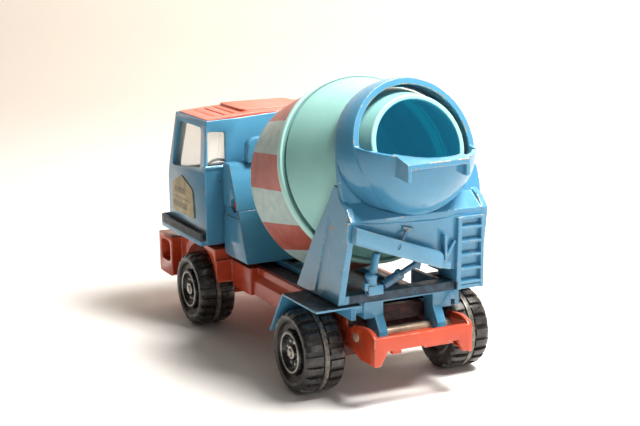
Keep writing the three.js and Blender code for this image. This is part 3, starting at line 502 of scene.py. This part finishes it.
def lathe_mesh(name, profile, seg, frame_m, closed=True, mat_of=None, squash=None, rise=0.0):
    """profile: (r, s) pairs in mm.  frame_m maps local (x, s, v) to the part's frame in metres."""
    bm = bmesh.new()
    rings = []
    for r, s in profile:
        if r < 1e-6:
            rings.append([bm.verts.new(frame_m @ Vector((0, s, 0)))])
            continue
        ring = []
        for i in range(seg):
            a = 2 * math.pi * i / seg
            x, v = r * math.sin(a), r * math.cos(a)
            if squash and v < 0:
                v *= squash
            elif rise:
                v *= 1 + rise * min(max((s - 14.1) / 7.8, 0), 1)
            ring.append(bm.verts.new(frame_m @ Vector((x, s, v))))
        rings.append(ring)
    n = len(rings)
    for k in range(n if closed else n - 1):
        a, b = rings[k], rings[(k + 1) % n]
        if len(a) == 1 and len(b) == 1:
            continue
        for i in range(seg):
            j = (i + 1) % seg
            if len(a) == 1:
                f = bm.faces.new((a[0], b[j], b[i]))
            elif len(b) == 1:
                f = bm.faces.new((a[i], a[j], b[0]))
            else:
                f = bm.faces.new((a[i], a[j], b[j], b[i]))
            if mat_of:
                f.material_index = mat_of(k)
    bmesh.ops.recalc_face_normals(bm, faces=bm.faces)
    me = bpy.data.meshes.new(name)
    bm.to_mesh(me)
    bm.free()
    return me


DRUM_M = Matrix.Translation(P(*DRUM0)) @ Matrix(((1, 0, 0, 0), (0, AX.y, UP.y, 0), (0, AX.z, UP.z, 0), (0, 0, 0, 1))) @ Matrix.Scale(MM, 4)


def rounded(points, r=0.25, n=3):
    """Rounds the corners of a closed (r, s) profile."""
    out = []
    k = len(points)
    for i, p in enumerate(points):
        q = p[2] if len(p) > 2 else r
        a, b, c = Vector(points[i - 1][:2]), Vector(p[:2]), Vector(points[(i + 1) % k][:2])
        if q <= 0 or p[0] < 1e-6:
            out.append(tuple(b))
            continue
        u, v = (a - b), (c - b)
        d = min(q, u.length * 0.45, v.length * 0.45)
        s, e = b + u.normalized() * d, b + v.normalized() * d
        for j in range(n + 1):
            t = j / n
            out.append(tuple(s * (1 - t) ** 2 + b * 2 * t * (1 - t) + e * t * t))
    return out


# ------------------------------------------------------------------ drum
CONE_K = (29.6 - 15.7) / 32.7


def drum():
    seg = 144
    rear = rounded([(28.3, -8.7, 0), (28.8, -8.7, 0.1), (28.85, -8.25, 0.1), (29.35, -8.1, 0.2), (15.95, 23.1, 0.5), (15.75, 23.75, 0.25), (15.3, 24.0, 0.3), (14.2, 24.0, 0.35), (14.05, 23.4, 0.2), (14.25, 22.6, 0.2)])
    n_out = next(i for i, p in enumerate(rear) if p[0] < 14.4)
    me = lathe_mesh("drum_rear_turned", rear, seg, DRUM_M, mat_of=lambda k: 1 if k >= n_out else 0)
    smooth(me, 40)
    new_object("drum_rear_turned", me, [AQUA, AQUA_IN], "drum", ("drum_rear_shell",))
    front = rounded([(2.5, -56, 0.2), (10.6, -56, 1.5), (29.2, -36.6, 1.2), (30.2, -35.2, 0.8), (30.2, -12.0, 0.15), (30.75, -11.6, 0.35), (31.0, -10.6, 0.6), (30.75, -9.2, 0.35), (29.9, -8.85, 0.15), (28.3, -8.85, 0), (28.3, -35.2, 1.0), (10.3, -54.4, 0.5), (2.5, -54.4, 0.1)])
    n_out = next(i for i, p in enumerate(front) if i > 10 and p[0] < 28.6 and p[1] > -12)
    me = lathe_mesh("drum_front_turned", front, seg, DRUM_M, mat_of=lambda k: 1 if k >= n_out else 0)
    smooth(me, 40)
    new_object("drum_front_turned", me, [AQUA_BAND, AQUA_IN], "drum", ("drum_front_shell",))


drum()

# ------------------------------------------------------------------ hopper
def boolean(o, tool, op):
    m = o.modifiers.new("b", "BOOLEAN")
    m.operation = op
    m.object = tool
    m.solver = "MANIFOLD"
    apply_mods(o)
    bpy.data.objects.remove(tool)


def temp(me):
    o = bpy.data.objects.new("t", me)
    scene.collection.objects.link(o)
    return o


def hexa(corners):
    """closed box from 8 corner points (bottom ring then top ring), in drawing mm"""
    bm = bmesh.new()
    v = [bm.verts.new(P(*c)) for c in corners]
    for f in ((0, 1, 2, 3), (7, 6, 5, 4), (0, 4, 5, 1), (1, 5, 6, 2), (2, 6, 7, 3), (3, 7, 4, 0)):
        bm.faces.new([v[i] for i in f])
    bmesh.ops.recalc_face_normals(bm, faces=bm.faces)
    me = bpy.data.meshes.new("h")
    bm.to_mesh(me)
    bm.free()
    return me


def ellipsoid(c, r, u=96, v=64):
    bm = bmesh.new()
    bmesh.ops.create_uvsphere(bm, u_segments=u, v_segments=v, radius=1.0)
    m = Matrix.Translation(P(*c)) @ Matrix.Diagonal((r[0] * MM, r[1] * MM, r[2] * MM, 1))
    bmesh.ops.transform(bm, matrix=m, verts=bm.verts)
    me = bpy.data.meshes.new("e")
    bm.to_mesh(me)
    bm.free()
    return me


def rim_z(x, y):
    return -0.066 * x + 0.102 * y + 79.44


def brow_z(x, y):
    return 75.45 + 0.25 * (y + 38.4) - 0.03 * (x + 13)


def hopper():
    C, R, T = (0, -17, 76.4), (20.7, 18.8, 20.8), 1.6
    s1 = 14.22
    bowl = temp(ellipsoid(C, R))
    L = 60
    boolean(bowl, temp(hexa([(-L, -L, -10), (L, -L, -10), (L, L, -10), (-L, L, -10)] + [(x, y, rim_z(x, y)) for x, y in ((-L, -L), (L, -L), (L, L), (-L, L))])), "INTERSECT")
    # brow and cheeks of the squared lip
    def slab(pts, dz0, dz1):
        return hexa([(x, y, brow_z(x, y) + dz0) for x, y in pts] + [(x, y, brow_z(x, y) + dz1) for x, y in pts])
    boolean(bowl, temp(slab([(-13, -38.4), (9.4, -36.2), (9.4, -26), (-13, -26)], -1.7, 0)), "UNION")
    for x0, x1, y in ((-13, -11.7, -38.4), (8.1, 9.4, -36.2)):
        pts = [(y, -1.5), (y + 0.15, -5.3), (-33, -6.0), (-26, -7.4), (-26, -1.5)]
        bm = bmesh.new()
        a = [bm.verts.new(P(x0, q, brow_z(x0, q) + dz)) for q, dz in pts]
        b = [bm.verts.new(P(x1, q, brow_z(x1, q) + dz)) for q, dz in pts]
        bm.faces.new(a)
        bm.faces.new(list(reversed(b)))
        for i in range(5):
            j = (i + 1) % 5
            bm.faces.new((a[j], a[i], b[i], b[j]))
        bmesh.ops.recalc_face_normals(bm, faces=bm.faces)
        me = bpy.data.meshes.new("c")
        bm.to_mesh(me)
        bm.free()
        boolean(bowl, temp(me), "UNION")
    seg = 112
    behind = lathe_mesh("cut", [(0, s1), (90, s1), (90, 90), (0, 90)], 4, DRUM_M, closed=False)
    boolean(bowl, temp(behind), "INTERSECT")
    hood = lathe_mesh("hood", [(0, s1), (22.95, s1), (22.75, 15.2), (22.55, 16), (22.1, 18), (21.4, 20), (20.9, 21.2), (20.6, 21.9), (0, 21.9)], seg, DRUM_M, closed=False, squash=0.87, rise=0.04)
    boolean(bowl, temp(hood), "UNION")
    inner = lathe_mesh("hin", [(0, 10), (21.3, 10), (20.95, 14.2), (20.6, 16.6), (20.1, 18.6), (19.4, 20.4), (18.75, 21.5), (18.7, 26), (0, 26)], seg, DRUM_M, closed=False, squash=0.87, rise=0.02)
    boolean(bowl, temp(inner), "DIFFERENCE")
    boolean(bowl, temp(ellipsoid(C, tuple(x - T for x in R), 88, 60)), "DIFFERENCE")
    room = lathe_mesh("room", [(0, -20), (30, -20), (29.6 - CONE_K * (14 + 8.7) + 0.45, 14), (29.6 - CONE_K * (26 + 8.7) + 0.45, 26), (0, 26)], seg, DRUM_M, closed=False)
    boolean(bowl, temp(room), "DIFFERENCE")
    bm = bmesh.new()
    bm.from_mesh(bowl.data)
    bmesh.ops.remove_doubles(bm, verts=bm.verts, dist=2e-5)
    bmesh.ops.dissolve_degenerate(bm, dist=1e-5, edges=bm.edges)
    me = bpy.data.meshes.new("hopper_cast")
    bm.to_mesh(me)
    bm.free()
    bpy.data.objects.remove(bowl)
    me.materials.clear()
    o = new_object("hopper_cast", me, BLUE_WORN, "mixer_body", ("hopper",))
    soften(o, 0.17, 4, 0.22)
    return o


hopper()

# ------------------------------------------------------------------ wheels
def tyre_mesh():
    top = [(0.30, 12.1), (0.95, 12.72), (1.9, 13.04), (2.9, 13.16), (4.4, 13.2), (5.45, 13.18)]
    low = [(0.45, 11.75), (1.0, 12.0), (1.9, 12.15), (2.9, 12.2), (4.4, 12.22), (5.45, 12.22)]
    rows = []  # (t, r_groove, r_lug, row)
    for (t, a), (_, b) in zip(top, low):
        rows.append((t, b, a, 0))
    rows += [(5.6, 12.22, 12.22, 0), (5.85, 12.35, 12.35, 2), (6.0, 13.1, 13.1, 2), (6.75, 13.16, 13.16, 2), (7.5, 13.1, 13.1, 2), (7.65, 12.35, 12.35, 2), (7.9, 12.22, 12.22, 1)]
    for (t, a), (_, b) in reversed(list(zip(top, low))):
        rows.append((13.5 - t, b, a, 1))
    side_out = [(7.25, 12.7), (7.25, 1.7), (7.5, 1.45), (9.0, 1.3), (9.35, 1.0), (9.6, 0.35), (9.95, 0.1), (11.0, 0.0), (11.55, 0.08)]
    side_in = [(11.5, 13.5), (11.0, 13.5), (9.3, 13.5), (8.4, 13.4), (7.8, 13.0)]
    lugs = 22
    fr = [0.0, 0.18, 0.235, 0.265, 0.32, 0.42, 0.5, 0.68, 0.735, 0.765, 0.82, 0.92]

    def lift(f):
        f = f % 1.0
        d = min(f, 1 - f)
        return 0.0 if d <= 0.1801 else (1.0 if d >= 0.2349 else (d - 0.18) / 0.055)
    bm = bmesh.new()
    n = lugs * len(fr)
    rings = []
    for r, t in side_out:
        rings.append([(r, t)] * n)
    for t, g, l, row in rows:
        ring = []
        for i in range(n):
            f = fr[i % len(fr)]
            k = 0.0 if row == 2 else lift(f + (0.5 if row else 0.0))
            ring.append((g + (l - g) * k, t))
        rings.append(ring)
    for r, t in side_in:
        rings.append([(r, t)] * n)
    vs = []
    for ring in rings:
        row = []
        for i, (r, t) in enumerate(ring):
            a = 2 * math.pi * (i // len(fr) + fr[i % len(fr)]) / lugs
            row.append(bm.verts.new(((33.05 - t) * MM, r * math.sin(a) * MM, r * math.cos(a) * MM)))
        vs.append(row)
    m = len(vs)
    for k in range(m):
        a, b = vs[k], vs[(k + 1) % m]
        for i in range(n):
            j = (i + 1) % n
            bm.faces.new((a[i], a[j], b[j], b[i]))
    bmesh.ops.recalc_face_normals(bm, faces=bm.faces)
    me = bpy.data.meshes.new("tyre_lugged")
    bm.to_mesh(me)
    bm.free()
    smooth(me, 33)
    return me


WHEEL_M = Matrix(((0, 1, 0, 0), (1, 0, 0, 0), (0, 0, 1, 0), (0, 0, 0, 1))) @ Matrix.Scale(MM, 4)  # local s -> +X


def join_bm(parts):
    bm = bmesh.new()
    for me, idx, mat in parts:
        k = len(bm.faces)
        bm.from_mesh(me)
        bm.faces.ensure_lookup_table()
        bm.verts.ensure_lookup_table()
        new = bm.faces[k:]
        for f in new:
            f.material_index = idx
        if mat is not None:
            vs = {v for f in new for v in f.verts}
            bmesh.ops.transform(bm, matrix=mat, verts=list(vs))
        bpy.data.meshes.remove(me)
    return bm


def hub_mesh():
    """Black dished hub with a bright ring, eight bright studs and a bright collar round the axle."""
    parts = []
    dish = rounded([(1.23, 20.7, 0), (1.23, 32.5, 0.1), (2.1, 32.6, 0.2), (2.5, 31.6, 0.4), (3.1, 31.5, 0.3), (4.9, 31.5, 0.4), (5.5, 32.3, 0.4), (5.75, 33.0, 0.2), (6.95, 33.0, 0.25), (7.15, 32.2, 0.2), (7.15, 20.7, 0.3)])
    parts.append((lathe_mesh("d", dish, 72, WHEEL_M), 0, None))
    ring = rounded([(5.9, 32.8, 0.1), (6.0, 33.2, 0.15), (6.35, 33.2, 0.15), (6.5, 32.8, 0.1)])
    parts.append((lathe_mesh("r", ring, 72, WHEEL_M), 1, None))
    collar = rounded([(1.35, 32.3, 0.05), (1.35, 32.75, 0.1), (2.0, 32.75, 0.2), (2.15, 32.3, 0.1)])
    parts.append((lathe_mesh("c", collar, 40, WHEEL_M), 1, None))
    for k in range(8):
        a = 2 * math.pi * (k + 0.5) / 8
        stud = rounded([(0, 31.3, 0), (0.55, 31.35, 0.05), (0.55, 31.9, 0.2), (0.35, 32.1, 0.15), (0, 32.15, 0)])
        me = lathe_mesh("s", stud, 14, WHEEL_M, closed=False)
        parts.append((me, 1, Matrix.Translation((0, 3.7 * math.sin(a) * MM, 3.7 * math.cos(a) * MM))))
    bm = join_bm(parts)
    me = bpy.data.meshes.new("hub_detailed")
    bm.to_mesh(me)
    bm.free()
    smooth(me, 45)
    return me


def wheels():
    tm, hm = tyre_mesh(), hub_mesh()
    tm.materials.append(TYRE)
    hm.materials.append(HUB)
    hm.materials.append(SILVER)
    for k, (tag, side, y) in enumerate((("front_left", -1, 85.5), ("front_right", 1, 85.5), ("rear_left", -1, 0), ("rear_right", 1, 0))):
        turn = math.radians((7, 23, 3, 12)[k])
        for kind, me, mats, sl in (("tyre", tm, TYRE, "tyre"), ("hub", hm, HUB, "hub_plastic")):
            o = bpy.data.objects.new(f"{kind}_{tag}_detailed", me)
            scene.collection.objects.link(o)
            o.matrix_world = Matrix.Translation(P(0, y, 12)) @ Matrix.Rotation(math.pi if side < 0 else 0, 4, "Z") @ Matrix.Rotation(turn, 4, "X")
            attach(o, f"wheel_{tag}")
            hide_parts(f"{kind}_{tag}")


wheels()

# ------------------------------------------------------------------ castings kept from the CAD shape, with rounded worn edges
cast_copy("chassis_casting", RED, "chassis", 0.26)
cast_copy("cab_shell", BLUE_CAB, "chassis", 0.28)
cast_copy("cab_roof", ROOF, "chassis", 0.25)
cast_copy("cab_interior", DARK, "chassis", 0.3)
cast_copy("steering_wheel", DARK, "chassis", 0.1)
for s in ("left", "right"):
    cast_copy(f"door_badge_{s}", BADGE, "chassis", 0.08)
    cast_copy(f"headlamp_{s}", LAMP, "chassis", 0.12)
    cast_copy(f"tower_pin_{s}", REDPIN, "mixer_body", 0.25)
for nm in ("rivet_rear", "rivet_front", "tipping_pin", "front_axle", "rear_axle"):
    cast_copy(nm, PIN if nm == "tipping_pin" else STEEL, "chassis", 0.12)
cast_copy("drum_spindle", STEEL, "drum", 0.12)
for nm, m in (("rear_frame", BLUE_FRAME), ("front_tower", BLUE), ("front_tower_cap", BLUE), ("front_tower_crest", BLUE), ("chute", BLUE_EDGE), ("ram_upright", BLUE), ("ram_slanted", BLUE_SHADE)):
    cast_copy(nm, m, "mixer_body", 0.24)
fillet = hexa([(-22.4, -23.2, 54.3), (22.2, -23.2, 54.3), (22.2, -20.6, 54.3), (-22.4, -20.6, 54.3), (-22.4, -23.7, 57.1), (22.2, -23.7, 57.1), (22.2, -20.6, 58.0), (-22.4, -20.6, 58.0)])
cast_soft("rear_tower", BLUE_TOWER, "mixer_body", 0.2, 3, 0.25, (fillet,))
cast_soft("ladder", BLUE_TOWER, "mixer_body", 0.13, 3, 0.35)
NODES["cab_glazing"].data.materials.clear()
NODES["cab_glazing"].data.materials.append(GLASS)

# ------------------------------------------------------------------ camera, floor, light
F_PX, YAW, PITCH, ROLL = 1386.298, 0.465, 0.214, -0.011
CAM = P(-209.048, -373.124, 146.094)
d = Vector((math.sin(YAW) * math.cos(PITCH), math.cos(YAW) * math.cos(PITCH), -math.sin(PITCH)))
r = Vector((math.cos(YAW), -math.sin(YAW), 0))
u = r.cross(d)
r2 = math.cos(ROLL) * r + math.sin(ROLL) * u
u2 = -math.sin(ROLL) * r + math.cos(ROLL) * u
cam_data = bpy.data.cameras.new("camera")
cam_data.sensor_width = 36
cam_data.lens = F_PX / 640 * 36
cam_data.clip_start = 0.01
cam_data.clip_end = 20
cam = bpy.data.objects.new("camera", cam_data)
scene.collection.objects.link(cam)
cam.matrix_world = Matrix(((r2.x, u2.x, -d.x, CAM.x), (r2.y, u2.y, -d.y, CAM.y), (r2.z, u2.z, -d.z, CAM.z), (0, 0, 0, 1)))
scene.camera = cam


def backdrop():
    """Pale table that sweeps up into a cream wall behind the lorry."""
    fwd, side = Vector((math.sin(YAW), math.cos(YAW), 0)), r
    start = Vector((CAM.x, CAM.y, 0))
    prof = [(-2.0, 0.0), (0.2, 0.0), (0.5, 0.0), (0.62, 0.0)]
    for k in range(1, 13):
        a = math.pi / 2 * k / 12
        prof.append((0.62 + 0.09 * math.sin(a), 0.09 * (1 - math.cos(a))))
    prof += [(0.71, 0.5), (0.71, 1.6)]
    bm = bmesh.new()
    cols = 9
    rows = []
    for f, h in prof:
        rows.append([bm.verts.new(start + fwd * f + side * (-2.0 + 4.0 * i / (cols - 1)) + Vector((0, 0, h))) for i in range(cols)])
    for a, b in zip(rows, rows[1:]):
        for i in range(cols - 1):
            bm.faces.new((a[i], a[i + 1], b[i + 1], b[i]))
    bmesh.ops.recalc_face_normals(bm, faces=bm.faces)
    me = bpy.data.meshes.new("backdrop")
    bm.to_mesh(me)
    bm.free()
    smooth(me)
    n = Nodes("backdrop_paper")
    h = n.axis(2)
    c = n.mix(n.step(h, 0.0, 0.06), (0.88, 0.86, 0.84), (0.72, 0.65, 0.575))
    c = n.mix(n.math("MULTIPLY", n.step(n.noise(6, 3, 0.6), 0.3, 0.7), 0.03), c, (0.8, 0.75, 0.7))
    me.materials.append(n.finish(c, 0.75, n.noise(300, 3, 0.6), 0.02))
    o = bpy.data.objects.new("backdrop", me)
    scene.collection.objects.link(o)


backdrop()


def area(name, loc, target, size, power, color=(1, 1, 1), size_y=None):
    l = bpy.data.lights.new(name, "AREA")
    l.energy = power
    l.color = color
    l.shape = "RECTANGLE" if size_y else "SQUARE"
    l.size = size
    if size_y:
        l.size_y = size_y
    o = bpy.data.objects.new(name, l)
    scene.collection.objects.link(o)
    o.location = loc
    o.rotation_euler = (Vector(target) - Vector(loc)).to_track_quat("-Z", "Y").to_euler()
    return o


area("key", (0.15, -0.18, 0.48), (0, 0, 0.03), 0.17, 5.8, (1.0, 0.97, 0.93))
area("front", (0.10, -0.80, 0.30), (0, 0, 0.05), 0.50, 1.6, (1.0, 0.98, 0.96))
world = bpy.data.worlds.new("studio")
scene.world = world
world.use_nodes = True
bg = world.node_tree.nodes["Background"]
bg.inputs[0].default_value = (1.0, 0.95, 0.90, 1)
bg.inputs[1].default_value = 0.05
